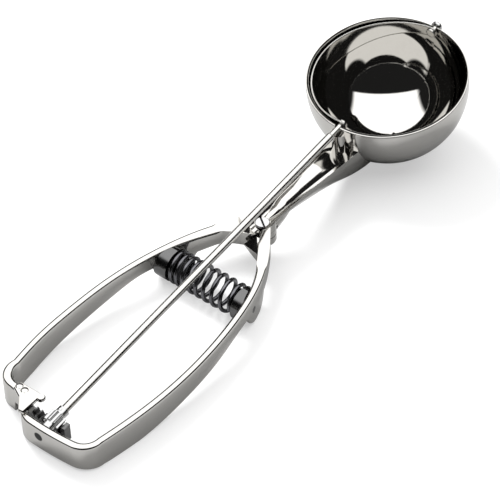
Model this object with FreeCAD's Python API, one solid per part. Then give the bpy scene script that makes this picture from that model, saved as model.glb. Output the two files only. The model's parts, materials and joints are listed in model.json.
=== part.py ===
import FreeCAD, Part
import math
import os

# Lever ice cream scoop, in millimetres.
# Everything is drawn in the handle frame first: the pivot axis is Z, the top of the bows is z = 0,
# +X runs to the bowl and +Y to the lever. One last move lays the scoop on its table.

# Tool: rod line and bowl
ROD_TILT = math.radians(6.5)
ROD_RISE = 9.26
BOWL_X = 71.8
BOWL_R = 29.35
BOWL_WALL = 1.2
BOWL_DROP = 2.0
RIM_RISE = 1.15

# Rod and what it turns in
ROD_R = 1.5
JOURNAL_R = 1.1
REAR_JOURNAL_R = 1.2
RUN_CLEARANCE = 0.07
SHOULDER_GAP = 4.05
SPACER_R = 2.3

# Scraper
BLADE_GAP = 0.65
BLADE_THICK = 0.6
BLADE_HALF_WIDTH = 4.6
BLADE_POLE_HALF = 1.7
BLADE_R = BOWL_R - BOWL_WALL - BLADE_GAP
EAR_R = 2.1
EAR_DEPTH = 2.0
BLADE_REST = math.radians(-10)
SCRAPER_TRAVEL = math.radians(160)
CLENCH_R = 1.8
CLENCH_LENGTH = 0.9
FAR_PIN_OUT = 2.0
FAR_HEAD_STEP = 0.4
FAR_HEAD_CHAMFER = 0.2
FAR_WASHER_GAP = 0.25
FAR_WASHER_STEP = 1.0

# Rear end: set outwards and inwards from the cross member's radius about the pivot
REACH = 117.35
CROSS_THICK = 3.1
ARM_GAP = 3.35
ARM_THICK = 3.2
RACK_INSET = 2.1
CROSS_INNER_R = REACH - CROSS_THICK
ARM_OUTER_R = CROSS_INNER_R - ARM_GAP
ARM_INNER_R = ARM_OUTER_R - ARM_THICK
RACK_R = ARM_OUTER_R - RACK_INSET
ARM_END_Y = 11.2
TURN_Y = 13.0
TIP_ROUND_Y = 4.0
TIP_Y = 9.6
TIP_FACE = 1.2
ARM_TURN_OUT_Y = 19.9
ARM_TURN_IN_Y = 17.9

# Pinion and rack
TEETH = 8
MODULE = 0.675
PRESSURE = math.radians(28)
ADDENDUM = 0.45
DEDENDUM = 0.62
FLANK_CLEARANCE = 0.1
PINION_AHEAD = 1.8
PINION_BEHIND = 2.6
HUB_LENGTH = 2.6
HUB_R = 2.1
HUB_PIN_R = 0.5
HUB_PIN_PROUD = 0.1
JOURNAL_AHEAD = 0.35
ROD_END_INSET = 0.25
PINION_FRONT_X = PINION_AHEAD - RACK_R
PINION_REAR_X = -PINION_BEHIND - RACK_R
HUB_FRONT_X = PINION_FRONT_X + HUB_LENGTH
REAR_JOURNAL_X = JOURNAL_AHEAD - CROSS_INNER_R
ROD_END_X = ROD_END_INSET - REACH
PITCH_R = TEETH * MODULE / 2
RACK_WIDTH = 3.0
RACK_ROOT_GAP = 0.46
RACK_DEPTH = 3.85
RACK_FIRST_TOOTH = -1
RACK_TEETH = 6
TOOTH_ROOT = 1.3
RACK_END_Y = 17.5
RACK_ROOM = 0.6
STOP_Y = -3.5
STOP_THICK = 1.5
STOP_RISE = 3.15

# Bows. Stations along X are in per cent of the reach: station, Y, thickness of the band
FIXED_STATIONS = [(0.85, -4.4, 3.5), (8.1, -10.6, 3.9), (17.6, -16.4, 3.1), (34.6, -21.8, 2.75),
                  (53.2, -24.3, 2.75), (71.1, -24.1, 2.75), (86.3, -21.9, 2.75), (92.5, -20.6, 2.75)]
LEVER_STATIONS = [(1.7, 9.4, 4.4), (8.9, 14.5, 4.4), (20.5, 20.4, 3.2), (31.8, 24.3, 2.75),
                  (44.9, 27.1, 2.75), (60.2, 28.4, 2.75), (73.8, 28.4, 2.75), (84.8, 27.0, 2.75)]
LEVER_WEB = [(2.0, 4.4), (-2.0, 9.4), (-10.4, 14.4), (-12.2, 11.8), (-8.3, 6.0), (-4.0, -2.7)]
LEVER_WEB_BOTTOM = -6.0
FIXED_WEB = [(-12.6, -9.0), (-8.1, 2.1), (-6.9, 2.1), (-4.4, -2.9), (0.0, -3.0), (-1.0, -4.4), (-8.0, -9.6)]
FIXED_WEB_BOTTOM = -4.2
CHEEK_EAR = [(-2.8, 8.5), (-5.0, 4.3), (-4.2, 1.5), (3.0, 1.5), (4.0, 4.5)]
CHEEK_EAR_TOP = 2.0
FIXED_CORNER = 0.2
LEVER_CORNER = 0.25
TIP_CORNER = 0.1
BOW_DEPTHS = [(106.5, -8.9), (95.4, -10.9), (83.5, -11.8), (63.1, -9.9), (43.5, -7.7), (34.1, -6.3),
              (17.5, -7.2), (10.2, -6.2), (-5.1, -5.8)]
CHEEK_TOP = 3.4
CHEEK_RAMP_X = -14.0

# Pivot
KNUCKLE_R = 4.9
KNUCKLE_BOTTOM = -5.8
SLOT_R = 5.3
SLOT_TOP = 0.1
SLOT_BOTTOM = -2.9
LUG_BOTTOM = -2.55
LUG_ROOM = 0.3
PIVOT_WASHER_THICK = 0.3
PIVOT_WASHER_INSET = 0.6
PIVOT_R = 1.5
SCREW_HEAD_R = 2.65
SCREW_HEAD_TOP = 1.75
SCREW_HEAD_ROOM = 0.25
SCREW_CHAMFER = 0.25
SCREW_SLOT = 0.7
SCREW_SLOT_DEPTH = 0.45
SCREW_SLOT_TURN = 55
SCREW_TAIL = 0.5
NUT_FLATS = 5.5
NUT_THICK = 1.8

# Neck: station x, half width, top, bottom
NECK = [(0.0, 4.7, 3.4, -0.4), (13.0, 4.6, 3.8, -2.0), (26.0, 4.9, 3.3, -5.0), (37.0, 5.6, 3.3, -8.0),
        (46.0, 7.2, 5.0, -11.0), (53.0, 9.0, 8.0, -12.0), (62.0, 9.0, 11.0, -12.1)]
KEEL = [(0.0, 4.4, 1.0, -5.8), (7.0, 3.7, 1.0, -5.2), (15.0, 2.4, 1.0, -2.2)]
GROOVE_FLOOR = 1.0
GROOVE = [(-9.0, 3.4, GROOVE_FLOOR), (5.0, 3.5, GROOVE_FLOOR), (20.0, 3.5, 0.7), (32.0, 4.0, -0.6),
          (39.0, 4.6, -1.4)]
GROOVE_LID = 28.0
GROOVE_STEP = 0.15
PAD_INSET = 1.15
PAD_X = BOWL_X - BOWL_R + PAD_INSET
PAD_R = 2.9
PAD_ROD_GAP = 0.35

# Spring and its seats
SPRING_X = -28.6
SPRING_Z = -6.1
BOSS_X = -26.0
BOSS_Z = -5.8
BOSS_R = 7.0
WIRE_R = 0.75
COIL_R = 5.5
TURNS = 8.5
SPRING_RIGHT_Y = -13.4
SPRING_LEFT_Y = 15.5
PITCH_TIGHT = 2.2
SEAT_GAP = 0.05
SEAT_R = 6.2
SEAT_DEPTH = 8.0
STUD_R = 4.2
STUD_LENGTH = 3.5
STUD_CHAMFER = 0.8
SHANK_R = 1.2
SHANK_DEPTH = 14.0

# Cap on the lever's rear end: outline as distance inwards from the cross member, and Y
CAP_TOP = 1.7
CAP_RELIEF = 0.5
CAP_CHAMFER = 0.3
CAP_ARM_ROOM = 0.1
CAP_OUTLINE = [(8.05, 7.5), (-1.65, 7.5), (-1.85, 9.4), (2.65, 13.2), (4.65, 17.2), (7.85, 16.8)]
EAR_LOBE = (6.95, 7.2, 1.5)
RIVET_Y = (13.4, 16.0)
RIVET_R = 0.8
RIVET_HEAD_R = 1.35
RIVET_HEAD = 0.5

# Table: where the fixed bow's rear stands on it
TABLE_STATION = 83.5
TABLE_Z = -11.6

# How far a cutter runs past what it cuts, and what counts as the same place
OVERSHOOT = 2.0
NEAR = 0.01

X = FreeCAD.Vector(1, 0, 0)
Y = FreeCAD.Vector(0, 1, 0)
Z = FreeCAD.Vector(0, 0, 1)
FAR = 200.0


def vec(x, y, z=0.0):
    return FreeCAD.Vector(x, y, z)


def edge(*points):
    # two points give a line, three an arc through the middle one
    if len(points) == 2:
        return Part.LineSegment(*points).toShape()
    return Part.Arc(*points).toShape()


def face_of(edges):
    return Part.Face(Part.Wire(Part.__sortEdges__(edges)))


def cylinder(radius, start, end):
    axis = end - start
    return Part.makeCylinder(radius, axis.Length, start, axis)


def ring(outer, inner, start, end):
    return cylinder(outer, start, end).cut(cylinder(inner, start, end))


def rod_z(x):
    # height of the rod's axis over the handle frame
    return ROD_RISE + x * math.tan(ROD_TILT)


def on_rod(x):
    return vec(x, 0, rod_z(x))


def rod_station(x):
    # distance along the rod from the bowl's centre
    return (x - BOWL_X) / math.cos(ROD_TILT)


def from_tool(shape):
    # the tool frame has its origin at the bowl's centre on the rod's axis, and X along the rod
    placed = shape.copy()
    placed.rotate(vec(0, 0, 0), Y, -math.degrees(ROD_TILT))
    placed.translate(on_rod(BOWL_X))
    return placed


def along(start, end):
    return vec(start, 0, 0), vec(end, 0, 0)


def station_x(station):
    # a station in per cent of the reach, as a place along X
    return -station * REACH / 100


def top_edges(shape, height):
    return [e for e in shape.Edges if e.BoundBox.ZMin > height - NEAR]


# Bowl

def bowl_arc(radius, top):
    # half outline of a cup that is a ball cut off above its middle, from the bottom to the rim
    low = -BOWL_DROP
    corner = radius * math.sin(math.pi / 4)
    end = math.sqrt(radius ** 2 - (top - low) ** 2)
    return edge(vec(0, 0, low - radius), vec(corner, 0, low - corner), vec(end, 0, top)), vec(end, 0, top)


def bowl_envelope():
    # the bowl filled, with its outer wall carried on upwards
    arc, rim = bowl_arc(BOWL_R, RIM_RISE)
    top = rim.z + BOWL_R
    outline = [arc, edge(rim, vec(rim.x, 0, top)), edge(vec(rim.x, 0, top), vec(0, 0, top)),
               edge(vec(0, 0, top), vec(0, 0, -BOWL_DROP - BOWL_R))]
    return from_tool(face_of(outline).revolve(vec(0, 0, 0), Z, 360))


def make_bowl():
    lip = RIM_RISE - BOWL_WALL / 2
    outer, rim_out = bowl_arc(BOWL_R, lip)
    inner, rim_in = bowl_arc(BOWL_R - BOWL_WALL, lip)
    crest = (rim_out + rim_in) * 0.5 + Z * (BOWL_WALL / 2)
    outline = [outer, inner, edge(rim_out, crest, rim_in),
               edge(vec(0, 0, -BOWL_DROP - BOWL_R), vec(0, 0, -BOWL_DROP - BOWL_R + BOWL_WALL))]
    shell = face_of(outline).revolve(vec(0, 0, 0), Z, 360)
    notch_r = JOURNAL_R + RUN_CLEARANCE
    reach = BOWL_R + OVERSHOOT
    notch = cylinder(notch_r, *along(-reach, reach))
    notch = notch.fuse(Part.makeBox(2 * reach, 2 * notch_r, 2 * RIM_RISE, vec(-reach, -notch_r, 0)))
    return from_tool(shell.cut(notch))


# Bows

def on_circle(radius, y):
    return vec(-math.sqrt(radius ** 2 - y ** 2), y)


def round_pivot(radius, start_y, end_y):
    middle_y = (start_y + end_y) / 2
    return edge(on_circle(radius, start_y), on_circle(radius, middle_y), on_circle(radius, end_y))


def corner(start, end, bulge):
    # an arc that stands out from its chord by this share of it, to the left of the way along
    chord = end - start
    return edge(start, (start + end) * 0.5 + Z.cross(chord) * bulge, end)


def band_curves(stations, side):
    # the outer curve passes through the stations, the inner one runs one band inside it
    points = [vec(station_x(station), y) for station, y, thick in stations]
    outer = Part.BSplineCurve()
    outer.interpolate(points)
    inner_points = []
    for point, (station, y, thick) in zip(points, stations):
        normal = Z.cross(outer.tangent(outer.parameter(point))[0])
        inner_points.append(point - normal * side * thick)
    inner = Part.BSplineCurve()
    inner.interpolate(inner_points)
    return outer, inner, points, inner_points


def fixed_band():
    outer, inner, points, inner_points = band_curves(FIXED_STATIONS, 1)
    turn_out = on_circle(REACH, -TURN_Y)
    turn_in = on_circle(CROSS_INNER_R, -TURN_Y)
    tip_out = on_circle(REACH, TIP_ROUND_Y)
    tip = on_circle(CROSS_INNER_R + TIP_FACE, TIP_Y)
    tip_in = on_circle(CROSS_INNER_R, TIP_Y)
    return [outer.toShape(), inner.toShape(), edge(points[0], inner_points[0]),
            corner(points[-1], turn_out, FIXED_CORNER), round_pivot(REACH, -TURN_Y, TIP_ROUND_Y),
            corner(tip_out, tip, TIP_CORNER), edge(tip, tip_in),
            round_pivot(CROSS_INNER_R, TIP_Y, -TURN_Y), corner(turn_in, inner_points[-1], -FIXED_CORNER)]


def lever_band():
    outer, inner, points, inner_points = band_curves(LEVER_STATIONS, -1)
    turn_out = on_circle(ARM_OUTER_R, ARM_TURN_OUT_Y)
    turn_in = on_circle(ARM_INNER_R, ARM_TURN_IN_Y)
    end_out = on_circle(ARM_OUTER_R, ARM_END_Y)
    end_in = on_circle(ARM_INNER_R, ARM_END_Y)
    return [outer.toShape(), inner.toShape(), edge(points[0], inner_points[0]),
            corner(points[-1], turn_out, -LEVER_CORNER), round_pivot(ARM_OUTER_R, ARM_TURN_OUT_Y, ARM_END_Y),
            edge(end_out, end_in), round_pivot(ARM_INNER_R, ARM_END_Y, ARM_TURN_IN_Y),
            corner(turn_in, inner_points[-1], LEVER_CORNER)]


def prism(edges, low, high):
    blank = face_of(edges).extrude(vec(0, 0, high - low))
    blank.translate(vec(0, 0, low))
    return blank


def slab(outline, low, high):
    # a flat plate with straight sides
    corners = [vec(x, y) for x, y in outline]
    return prism([edge(a, b) for a, b in zip(corners, corners[1:] + corners[:1])], low, high)


def side_profile(ramp):
    # height of a bow along its length, with the round boss that carries the spring
    points = [vec(station_x(station), 0, z) for station, z in BOW_DEPTHS]
    rear = points[0]
    front = points[-1]
    low = Part.BSplineCurve()
    low.interpolate(points)
    front_top = CHEEK_TOP if ramp else 0.0
    knee = vec(CHEEK_RAMP_X, 0, 0)
    shoulder = vec(0, 0, front_top)
    edges = [low.toShape(), edge(rear, vec(rear.x, 0, 0)), edge(vec(rear.x, 0, 0), knee)]
    if ramp:
        rise = Part.BezierCurve()
        rise.setPoles([knee, vec(CHEEK_RAMP_X * 0.5, 0, 0), vec(CHEEK_RAMP_X * 0.35, 0, front_top), shoulder])
        edges.append(rise.toShape())
    else:
        edges.append(edge(knee, shoulder))
    edges.append(edge(shoulder, vec(front.x, 0, front_top)))
    edges.append(edge(vec(front.x, 0, front_top), front))
    side = face_of(edges).extrude(vec(0, 2 * FAR, 0))
    side.translate(vec(0, -FAR, 0))
    boss = cylinder(BOSS_R, vec(BOSS_X, -FAR, BOSS_Z), vec(BOSS_X, FAR, BOSS_Z))
    boss = boss.cut(Part.makeBox(FAR, 2 * FAR, FAR, vec(BOSS_X - FAR / 2, -FAR, 0)))
    return side.fuse(boss)


def table_half_space():
    slope = table_slope()
    block = Part.makeBox(2 * FAR, 2 * FAR, FAR, vec(-FAR, -FAR, -FAR))
    block.rotate(vec(0, 0, 0), Y, -math.degrees(slope))
    block.translate(vec(station_x(TABLE_STATION), 0, TABLE_Z))
    return block


def table_slope():
    # the line that touches the rear underside and the round of the bowl from below
    centre = on_rod(BOWL_X) - vec(-math.sin(ROD_TILT), 0, math.cos(ROD_TILT)) * BOWL_DROP
    dx = centre.x - station_x(TABLE_STATION)
    dz = centre.z - TABLE_Z
    return math.atan2(dz, dx) - math.asin(BOWL_R / math.hypot(dx, dz))


# Neck

def loft(sections):
    return Part.makeLoft(sections, True, False)


def spline_section(x, half, top, bottom):
    # the same outline as one smooth curve and a lid, so that all the sections loft alike
    count = 8
    points = []
    for i in range(count + 1):
        angle = math.pi * i / count
        points.append(vec(x, half * math.cos(angle), top - (top - bottom) * math.sin(angle)))
    low = Part.BSplineCurve()
    low.interpolate(points, InitialTangent=vec(0, 0, -1), FinalTangent=vec(0, 0, 1))
    return Part.Wire([low.toShape(), edge(points[-1], points[0])])


def neck_cutters():
    # the spoon-shaped groove, open upwards, with a round end near the bowl
    groove = loft([spline_section(x, half, floor + half, floor) for x, half, floor in GROOVE])
    walls = loft([spline_box(x, half, floor + half, GROOVE_LID) for x, half, floor in GROOVE])
    x, half, floor = GROOVE[-1]
    centre = vec(x - 2 * GROOVE_STEP, 0, floor + half)
    end = Part.makeSphere(half - GROOVE_STEP, centre)
    above = cylinder(half - GROOVE_STEP, centre, centre + Z * GROOVE_LID)
    return [groove, walls, end.fuse(above)]


def make_pad():
    # boss on the bowl's wall that the rod's front end passes over
    pad = cylinder(PAD_R, vec(PAD_X, 0, 0), vec(PAD_X, 0, GROOVE_LID))
    side = 4 * PAD_R
    over_rod = Part.makeBox(side, side, FAR, vec(-side / 2, -side / 2, -ROD_R - PAD_ROD_GAP))
    over_rod.rotate(vec(0, 0, 0), Y, -math.degrees(ROD_TILT))
    over_rod.translate(on_rod(PAD_X))
    return pad.cut(over_rod)


def make_neck():
    shank = loft([spline_section(*station) for station in NECK])
    keel = loft([spline_section(*station) for station in KEEL])
    knuckle = cylinder(KNUCKLE_R, vec(0, 0, KNUCKLE_BOTTOM), vec(0, 0, CHEEK_TOP))
    return shank.fuse([keel, knuckle])


def spline_box(x, half, low, high):
    corners = [vec(x, half, low), vec(x, half, high), vec(x, -half, high), vec(x, -half, low)]
    return Part.makePolygon(corners + corners[:1])


def make_fixed_handle(envelope, table):
    band = prism(fixed_band(), KNUCKLE_BOTTOM * 3, CHEEK_TOP + OVERSHOOT).common(side_profile(True))
    web = slab(FIXED_WEB, FIXED_WEB_BOTTOM, 0)
    ear = slab(CHEEK_EAR, SLOT_TOP, CHEEK_EAR_TOP)
    frame = band.fuse([make_neck(), web, ear])
    for cutter in neck_cutters():
        frame = frame.cut(cutter)
    frame = frame.fuse(make_pad()).cut(envelope)
    slot = cylinder(SLOT_R, vec(0, 0, SLOT_BOTTOM), vec(0, 0, SLOT_TOP))
    pivot_hole = cylinder(PIVOT_R, vec(0, 0, -FAR), vec(0, 0, FAR))
    behind = on_rod(-OVERSHOOT - REACH)
    rear_hole = cylinder(REAR_JOURNAL_R + RUN_CLEARANCE, on_rod(OVERSHOOT - CROSS_INNER_R), behind)
    shank_hole = cylinder(SHANK_R, vec(SPRING_X, 0, SPRING_Z), vec(SPRING_X, -FAR, SPRING_Z))
    head_floor = vec(0, 0, GROOVE_FLOOR)
    head_room = cylinder(SCREW_HEAD_R + SCREW_HEAD_ROOM, head_floor, vec(0, 0, CHEEK_TOP + OVERSHOOT))
    for cutter in (slot, pivot_hole, head_room, rear_hole, shank_hole, table):
        frame = frame.cut(cutter)
    return frame.removeSplitter()


def make_lever(table):
    band = prism(lever_band(), KNUCKLE_BOTTOM * 3, CHEEK_TOP).common(side_profile(False))
    under_lug = cylinder(SLOT_R + LUG_ROOM, vec(0, 0, -FAR), vec(0, 0, LUG_BOTTOM))
    lug = cylinder(KNUCKLE_R, vec(0, 0, LUG_BOTTOM), vec(0, 0, 0))
    web = slab(LEVER_WEB, LEVER_WEB_BOTTOM, 0)
    lever = band.fuse(web).cut(under_lug).fuse(lug)
    tang_room = Part.makeBox(REACH / 2, RACK_END_Y + RACK_ROOM, FAR, vec(-REACH, 0, rack_top() - FAR))
    pivot_hole = cylinder(PIVOT_R + RUN_CLEARANCE, vec(0, 0, -FAR), vec(0, 0, FAR))
    shank_hole = cylinder(SHANK_R, vec(SPRING_X, 0, SPRING_Z), vec(SPRING_X, FAR, SPRING_Z))
    for cutter in [tang_room, pivot_hole, shank_hole, table] + rivet_shanks():
        lever = lever.cut(cutter)
    return lever.removeSplitter()


# Pivot pieces

def make_pivot_screw():
    head = cylinder(SCREW_HEAD_R, vec(0, 0, GROOVE_FLOOR), vec(0, 0, SCREW_HEAD_TOP))
    head = head.makeChamfer(SCREW_CHAMFER, top_edges(head, SCREW_HEAD_TOP))
    shank = cylinder(PIVOT_R, vec(0, 0, KNUCKLE_BOTTOM - NUT_THICK - SCREW_TAIL), vec(0, 0, GROOVE_FLOOR))
    floor = vec(-SCREW_HEAD_R, -SCREW_SLOT / 2, SCREW_HEAD_TOP - SCREW_SLOT_DEPTH)
    slot = Part.makeBox(2 * SCREW_HEAD_R, SCREW_SLOT, OVERSHOOT, floor)
    slot.rotate(vec(0, 0, 0), Z, SCREW_SLOT_TURN)
    return head.fuse(shank).cut(slot)


def make_pivot_nut():
    corner = NUT_FLATS / 2 / math.cos(math.pi / 6)
    points = [vec(corner * math.cos(a), corner * math.sin(a)) for a in [math.pi / 3 * i for i in range(7)]]
    low = KNUCKLE_BOTTOM - NUT_THICK
    nut = Part.Face(Part.makePolygon(points)).extrude(vec(0, 0, NUT_THICK))
    nut.translate(vec(0, 0, low))
    chamfer = Part.makeCone(NUT_FLATS / 2, NUT_FLATS / 2 + 2 * NUT_THICK, 2 * NUT_THICK, vec(0, 0, low))
    return nut.common(chamfer).cut(cylinder(PIVOT_R, vec(0, 0, low - OVERSHOOT), vec(0, 0, 0)))


def make_pivot_washer():
    top = SLOT_BOTTOM + PIVOT_WASHER_THICK
    return ring(KNUCKLE_R - PIVOT_WASHER_INSET, PIVOT_R, vec(0, 0, SLOT_BOTTOM), vec(0, 0, top))


# Rear end: cap, rack and rivets

def rivet_points():
    middle = (ARM_OUTER_R + ARM_INNER_R) / 2
    return [on_circle(middle, y) for y in RIVET_Y]


def rivet_shanks():
    return [cylinder(RIVET_R, p + vec(0, 0, rack_bottom()), p + vec(0, 0, CAP_TOP)) for p in rivet_points()]


def dome(radius, height):
    # low button head: a slice of a ball
    ball = (radius ** 2 + height ** 2) / (2 * height)
    cap = Part.makeSphere(ball, vec(0, 0, height - ball))
    return cap.common(cylinder(radius, vec(0, 0, 0), vec(0, 0, height)))


def make_rack_rivets():
    rivets = []
    for point, shank in zip(rivet_points(), rivet_shanks()):
        upper = dome(RIVET_HEAD_R, RIVET_HEAD)
        lower = upper.copy()
        lower.rotate(vec(0, 0, 0), X, 180)
        upper.translate(point + vec(0, 0, CAP_TOP))
        lower.translate(point + vec(0, 0, rack_bottom()))
        rivets.append(shank.fuse([upper, lower]).removeSplitter())
    return Part.makeCompound(rivets)


def from_cross(inset, y, z=0.0):
    return vec(inset - CROSS_INNER_R, y, z)


def make_guide_cap():
    corners = [from_cross(inset, y) for inset, y in CAP_OUTLINE]
    plate = Part.Face(Part.makePolygon(corners + corners[:1])).extrude(vec(0, 0, CAP_TOP))
    inset, y, radius = EAR_LOBE
    plate = plate.fuse(cylinder(radius, from_cross(inset, y), from_cross(inset, y, CAP_TOP))).removeSplitter()
    plate = plate.makeChamfer(CAP_CHAMFER, top_edges(plate, CAP_TOP))
    relief = Part.makeBox(REACH, ARM_END_Y, CAP_RELIEF, vec(-REACH - OVERSHOOT, 0, 0))
    behind_arm = ring(REACH + OVERSHOOT, ARM_OUTER_R + CAP_ARM_ROOM, vec(0, 0, 0), vec(0, 0, CAP_RELIEF))
    for cutter in [relief, behind_arm] + rivet_shanks():
        plate = plate.cut(cutter)
    return plate


def rack_top():
    # just under the pinion's teeth
    return rod_z(-RACK_R) - PITCH_R - ADDENDUM - RACK_ROOT_GAP


def rack_bottom():
    return rack_top() - RACK_DEPTH


def rack_angle(y):
    return math.asin(y / RACK_R)


def rack_tooth(index):
    # one trapezoid along the rod's direction, turned about the pivot to its own place
    pitch = math.pi * MODULE
    half = pitch / 4 - FLANK_CLEARANCE / 2
    slope = math.tan(PRESSURE)
    outline = []
    for side, level in ((1, -TOOTH_ROOT), (1, ADDENDUM), (-1, ADDENDUM), (-1, -TOOTH_ROOT)):
        outline.append(vec(-RACK_WIDTH, side * (half - level * slope), level - PITCH_R))
    tooth = Part.Face(Part.makePolygon(outline + outline[:1])).extrude(vec(2 * RACK_WIDTH, 0, 0))
    tooth.rotate(vec(0, 0, 0), Y, -math.degrees(ROD_TILT))
    tooth.translate(on_rod(-RACK_R))
    tooth.rotate(vec(0, 0, 0), Z, -math.degrees((index + 0.5) * pitch / RACK_R))
    return tooth


def sector(y_low, y_high, low, high):
    # a piece of the rack's ring between two lines from the pivot
    outer = RACK_R + RACK_WIDTH / 2
    inner = RACK_R - RACK_WIDTH / 2
    angles = [math.pi - rack_angle(y) for y in (y_low, (y_low + y_high) / 2, y_high)]
    out_points = [vec(outer * math.cos(a), outer * math.sin(a)) for a in angles]
    in_points = [vec(inner * math.cos(a), inner * math.sin(a)) for a in angles]
    return prism([edge(*out_points), edge(*in_points), edge(out_points[0], in_points[0]),
                  edge(out_points[2], in_points[2])], low, high)


def make_rack():
    low = rack_bottom()
    top = rack_top()
    teeth = [rack_tooth(RACK_FIRST_TOOTH + i) for i in range(RACK_TEETH)]
    row = teeth[0].fuse(teeth[1:]).common(sector(STOP_Y - STOP_THICK, RACK_END_Y, low, 0))
    base = sector(STOP_Y - STOP_THICK, RACK_END_Y, low, top)
    stop = sector(STOP_Y - STOP_THICK, STOP_Y, low, top + STOP_RISE)
    rack = base.fuse([row, stop]).removeSplitter()
    for shank in rivet_shanks():
        rack = rack.cut(shank)
    return rack


def involute(base, radius):
    # angle that the involute has turned through where it reaches this radius
    roll = math.sqrt(max((radius / base) ** 2 - 1, 0))
    return roll - math.atan(roll)


def pinion_outline():
    base = PITCH_R * math.cos(PRESSURE)
    tip = PITCH_R + ADDENDUM
    root = PITCH_R - DEDENDUM
    half = math.pi / (2 * TEETH) - FLANK_CLEARANCE / 2 / PITCH_R + involute(base, PITCH_R)
    radii = [base + (tip - base) * i / 3 for i in range(4)]
    edges = []
    last = None
    first = None
    for tooth in range(TEETH):
        centre = -math.pi / 2 + 2 * math.pi * tooth / TEETH

        def at(radius, angle):
            return vec(0, radius * math.cos(centre + angle), radius * math.sin(centre + angle))

        rising = [at(r, involute(base, r) - half) for r in radii]
        falling = [at(r, half - involute(base, r)) for r in reversed(radii)]
        start = at(root, -half)
        stop = at(root, half)
        if last is not None:
            edges.append(edge(last, start))
        else:
            first = start
        for points in (rising, falling):
            flank = Part.BSplineCurve()
            flank.interpolate(points)
            edges.append(flank.toShape())
        edges.append(edge(start, rising[0]))
        edges.append(edge(rising[-1], at(tip, 0), falling[0]))
        edges.append(edge(falling[-1], stop))
        last = stop
    edges.append(edge(last, first))
    return edges


def make_pinion():
    front = rod_station(PINION_FRONT_X)
    rear = rod_station(PINION_REAR_X)
    wheel = face_of(pinion_outline()).extrude(vec(front - rear, 0, 0))
    wheel.translate(vec(rear, 0, 0))
    hub = cylinder(HUB_R, *along(front, rod_station(HUB_FRONT_X)))
    wheel = wheel.fuse(hub).cut(cylinder(ROD_R, *along(rear - OVERSHOOT, 0)))
    return from_tool(wheel.cut(hub_pin_hole()))


def hub_pin_hole():
    middle = (rod_station(PINION_FRONT_X) + rod_station(HUB_FRONT_X)) / 2
    reach = HUB_R + HUB_PIN_PROUD
    return cylinder(HUB_PIN_R, vec(middle, 0, -reach), vec(middle, 0, reach))


# Rod and scraper

def make_drive_rod():
    shoulder = -BOWL_R - SHOULDER_GAP
    rear = rod_station(REAR_JOURNAL_X)
    rod = cylinder(ROD_R, *along(rear, shoulder))
    rod = rod.fuse(cylinder(JOURNAL_R, *along(shoulder, EAR_DEPTH - BLADE_R)))
    rod = rod.fuse(cylinder(REAR_JOURNAL_R, *along(rod_station(ROD_END_X), rear)))
    return from_tool(rod.cut(hub_pin_hole()))


def blade_lens():
    # seen along the blade's middle: widest in the middle, narrow at both poles
    reach = BLADE_R + OVERSHOOT
    edges = []
    for side in (1, -1):
        edges.append(edge(vec(-reach, 0, side * BLADE_POLE_HALF), vec(0, 0, side * BLADE_HALF_WIDTH),
                          vec(reach, 0, side * BLADE_POLE_HALF)))
    for end in (-reach, reach):
        edges.append(edge(vec(end, 0, BLADE_POLE_HALF), vec(end, 0, -BLADE_POLE_HALF)))
    return face_of(edges).extrude(vec(0, reach, 0))


def make_scraper():
    shell = Part.makeSphere(BLADE_R).cut(Part.makeSphere(BLADE_R - BLADE_THICK))
    reach = BLADE_R + OVERSHOOT
    inside = BLADE_R - EAR_DEPTH
    ears = [cylinder(EAR_R, *along(side * inside, side * reach)) for side in (-1, 1)]
    blade = shell.common(blade_lens().fuse(ears))
    blade = blade.cut(cylinder(JOURNAL_R, *along(-reach, reach)))
    blade.rotate(vec(0, 0, 0), X, math.degrees(BLADE_REST))
    return from_tool(blade.removeSplitter())


def make_scraper_clench():
    # the rod's end is spread into this collar inside the near ear
    ear = -math.sqrt((BLADE_R - BLADE_THICK) ** 2 - CLENCH_R ** 2)
    return from_tool(ring(CLENCH_R, JOURNAL_R, *along(ear, ear + CLENCH_LENGTH)))


def make_far_pin():
    ear = math.sqrt((BLADE_R - BLADE_THICK) ** 2 - CLENCH_R ** 2)
    end = BOWL_R + FAR_PIN_OUT
    head = cylinder(CLENCH_R, *along(ear - CLENCH_LENGTH, ear))
    shank = cylinder(JOURNAL_R, *along(ear, end))
    outer = cylinder(JOURNAL_R + FAR_HEAD_STEP, *along(end - CLENCH_LENGTH, end))
    outer = outer.makeChamfer(FAR_HEAD_CHAMFER, [e for e in outer.Edges if e.BoundBox.XMin > end - NEAR])
    return from_tool(head.fuse([shank, outer]).removeSplitter())


def make_far_washer():
    start = BOWL_R + FAR_WASHER_GAP
    end = BOWL_R + FAR_PIN_OUT - CLENCH_LENGTH
    return from_tool(ring(JOURNAL_R + FAR_WASHER_STEP, JOURNAL_R, *along(start, end)))


def make_rear_spacer():
    rear = rod_station(REAR_JOURNAL_X)
    return from_tool(ring(SPACER_R, ROD_R, *along(rear, rod_station(PINION_REAR_X))))


# Spring and seats

def coil_height(turn):
    # the pitch grows evenly from the lever's end to the fixed end
    length = SPRING_LEFT_Y - SPRING_RIGHT_Y - 2 * (WIRE_R + SEAT_GAP)
    growth = (length - PITCH_TIGHT * TURNS) / TURNS ** 2
    return SPRING_LEFT_Y - WIRE_R - SEAT_GAP - PITCH_TIGHT * turn - growth * turn ** 2


def coil_point(turn):
    angle = 2 * math.pi * turn
    return vec(SPRING_X + COIL_R * math.cos(angle), coil_height(turn), SPRING_Z + COIL_R * math.sin(angle))


def coil_tangent(turn):
    step = 1e-4
    tangent = coil_point(turn + step) - coil_point(turn - step)
    tangent.normalize()
    return tangent


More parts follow.
